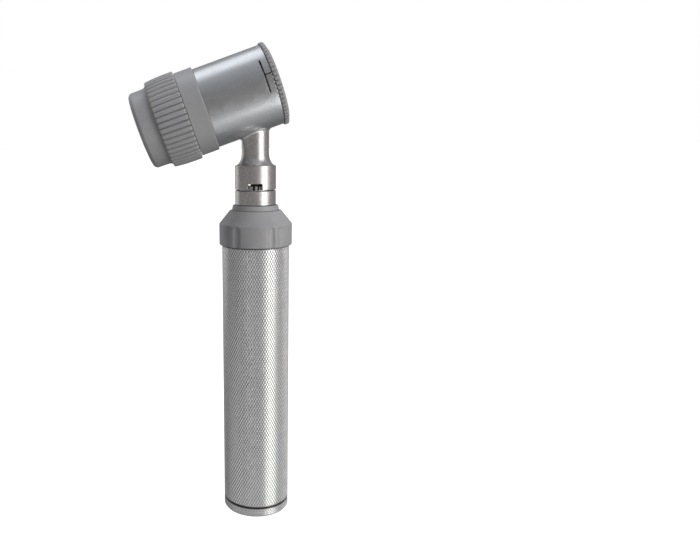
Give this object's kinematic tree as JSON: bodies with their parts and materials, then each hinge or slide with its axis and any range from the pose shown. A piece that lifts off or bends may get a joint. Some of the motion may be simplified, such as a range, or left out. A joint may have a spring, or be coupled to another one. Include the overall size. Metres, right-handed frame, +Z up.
{
  "type": "dermatoscope",
  "caption": "Hand-held skin magnifier: a tilted tubular head with ribbed contact cap and focusing eyepiece, on a knurled battery handle with a dimmer collar.",
  "frame": {"origin": "centre of the flat base of the handle end cap", "axes": "+Z up along the handle; the head points its contact plate towards -X and its eyepiece towards +X"},
  "size_m": [0.0659, 0.0362, 0.1971],
  "materials": {
    "satin_knurled_metal": "satin",
    "satin_chrome": "satin",
    "silver_lacquer": "satin",
    "turned_aluminium": "satin",
    "nickel_steel": "satin",
    "contact_brass": "satin",
    "grey_plastic": "satin",
    "black_plastic": "matte",
    "black_rubber": "matte",
    "cell_wrap": "satin",
    "mirror": "polished",
    "clear_glass": "polished",
    "lamp_glass": "polished"
  },
  "bodies": {
    "handle": {"handle_tube": "satin_knurled_metal", "battery_lower": "cell_wrap", "battery_upper": "cell_wrap", "handle_top_insert": "turned_aluminium", "contact_insulator": "black_plastic", "conductor_rod": "contact_brass", "rheostat_track": "black_plastic", "dimmer_stop_pin": "nickel_steel", "collar_retaining_ring": "grey_plastic", "bayonet_base": "satin_chrome", "bayonet_core": "black_plastic", "contact_pin_spring": "nickel_steel"},
    "dimmer": {"dimmer_collar": "grey_plastic", "rheostat_wiper": "contact_brass"},
    "end_cap_carrier": {"end_cap_seal": "black_rubber"},
    "end_cap": {"end_cap": "satin_knurled_metal", "spring_plate": "nickel_steel", "battery_spring": "nickel_steel"},
    "contact_pin": {"center_contact_pin": "contact_brass"},
    "head": {"head_neck": "satin_chrome", "socket_insulator": "black_plastic", "lamp_contact": "contact_brass", "lamp_base": "nickel_steel", "lamp_bulb": "lamp_glass", "socket_grub_screw": "nickel_steel", "head_tube": "silver_lacquer", "deflector_mirror": "mirror", "mirror_bracket": "black_plastic", "light_baffle": "black_plastic", "front_collar": "grey_plastic"},
    "focus": {"focus_ring": "grey_plastic"},
    "lens": {"lens_cell": "black_plastic", "eyepiece_lens": "clear_glass", "lens_retainer": "black_plastic"},
    "cap_carrier": {"cap_seal": "black_rubber"},
    "cap": {"contact_cap": "grey_plastic", "contact_glass": "clear_glass", "glass_gasket": "black_rubber"}
  },
  "joints": [
    {"name": "dimmer_turn", "type": "hinge", "parent": "handle", "child": "dimmer", "pos_m": [0, 0, 0.12], "axis": [0, 0, 1], "range_deg": [0, 100]},
    {"name": "end_cap_slide", "type": "slide", "parent": "handle", "child": "end_cap_carrier", "axis": [0, 0, -1], "range_m": [0, 0.00449], "deforming": ["battery_spring"]},
    {"name": "end_cap_turn", "type": "hinge", "parent": "end_cap_carrier", "child": "end_cap", "pos_m": [0, 0, 0.002], "axis": [0, 0, -1], "range_deg": [0, 1080]},
    {"name": "contact_pin_slide", "type": "slide", "parent": "handle", "child": "contact_pin", "axis": [0, 0, 1], "range_m": [-0.0012, 0], "stiffness_N_per_m": 400, "springref_m": 0.002, "deforming": ["contact_pin_spring"]},
    {"name": "head_twist", "type": "hinge", "parent": "handle", "child": "head", "pos_m": [0, 0, 0.14], "axis": [0, 0, 1], "range_deg": [-24, 0]},
    {"name": "focus_turn", "type": "hinge", "parent": "head", "child": "focus", "pos_m": [0.00756, 0, 0.181], "axis": [0.9444, 0, 0.3289], "range_deg": [-70, 70]},
    {"name": "lens_slide", "type": "slide", "parent": "head", "child": "lens", "axis": [0.9444, 0, 0.3289], "range_m": [-0.00116, 0.00116]},
    {"name": "cap_slide", "type": "slide", "parent": "head", "child": "cap_carrier", "axis": [-0.9444, 0, -0.3289], "range_m": [0, 0.00449]},
    {"name": "cap_turn", "type": "hinge", "parent": "cap_carrier", "child": "cap", "pos_m": [-0.03778, 0, 0.16522], "axis": [-0.9444, 0, -0.3289], "range_deg": [0, 1080]}
  ],
  "couplings": [
    {"joint": "end_cap_turn", "follows": "end_cap_slide", "rad_per_m": 4188.8},
    {"joint": "focus_turn", "follows": "lens_slide", "rad_per_m": 1047.2},
    {"joint": "cap_turn", "follows": "cap_slide", "rad_per_m": 4188.8}
  ]
}
